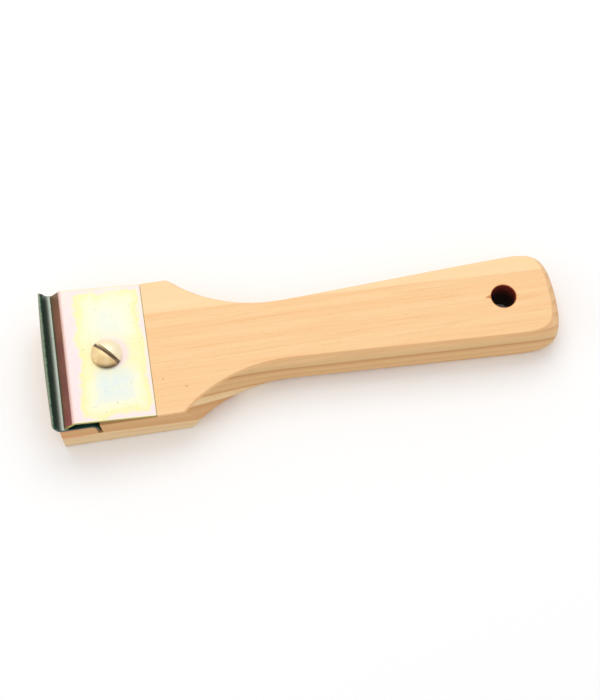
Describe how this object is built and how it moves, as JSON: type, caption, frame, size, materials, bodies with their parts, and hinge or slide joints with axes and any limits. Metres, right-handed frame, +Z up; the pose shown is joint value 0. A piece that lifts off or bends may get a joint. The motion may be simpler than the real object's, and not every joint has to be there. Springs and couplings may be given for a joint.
{
  "type": "hive tool",
  "caption": "Hive scraper: flat wooden handle with a hanging hole, and a reversible hooked steel blade held in the head by a sloping clamp plate and a slotted screw.",
  "frame": {"origin": "centre of the footprint, at the flat underside of the handle", "axes": "+X from the blade to the butt of the handle, +Y across the blade, +Z up out of the face that carries the clamp plate"},
  "size_m": [0.2134, 0.06, 0.0257],
  "materials": {
    "wood": "bare sanded softwood",
    "blade_steel": "dark oiled spring steel",
    "plate_steel": "yellow passivated zinc",
    "screw_metal": "satin",
    "nut_steel": "zinc plated"
  },
  "bodies": {
    "handle": {"handle": "wood", "flanged_nut": "nut_steel"},
    "plate": {"clamp_plate": "plate_steel"},
    "screw": {"clamp_screw": "screw_metal"},
    "blade": {"scraper_blade": "blade_steel"}
  },
  "joints": [
    {"name": "clamp_lift", "type": "slide", "parent": "handle", "child": "plate", "axis": [0.1326, 0, 0.9912], "range_m": [0, 0.0055]},
    {"name": "screw_turn", "type": "hinge", "parent": "plate", "child": "screw", "pos_m": [-0.08165, -0.0008, 0.02125], "axis": [0.1326, 0, 0.9912], "range_deg": [0, 1980]},
    {"name": "blade_slide", "type": "slide", "parent": "handle", "child": "blade", "axis": [0, 1, 0], "range_m": [-0.062, 0.062]}
  ],
  "couplings": [
    {"joint": "screw_turn", "follows": "clamp_lift", "rad_per_m": 6283.2}
  ]
}
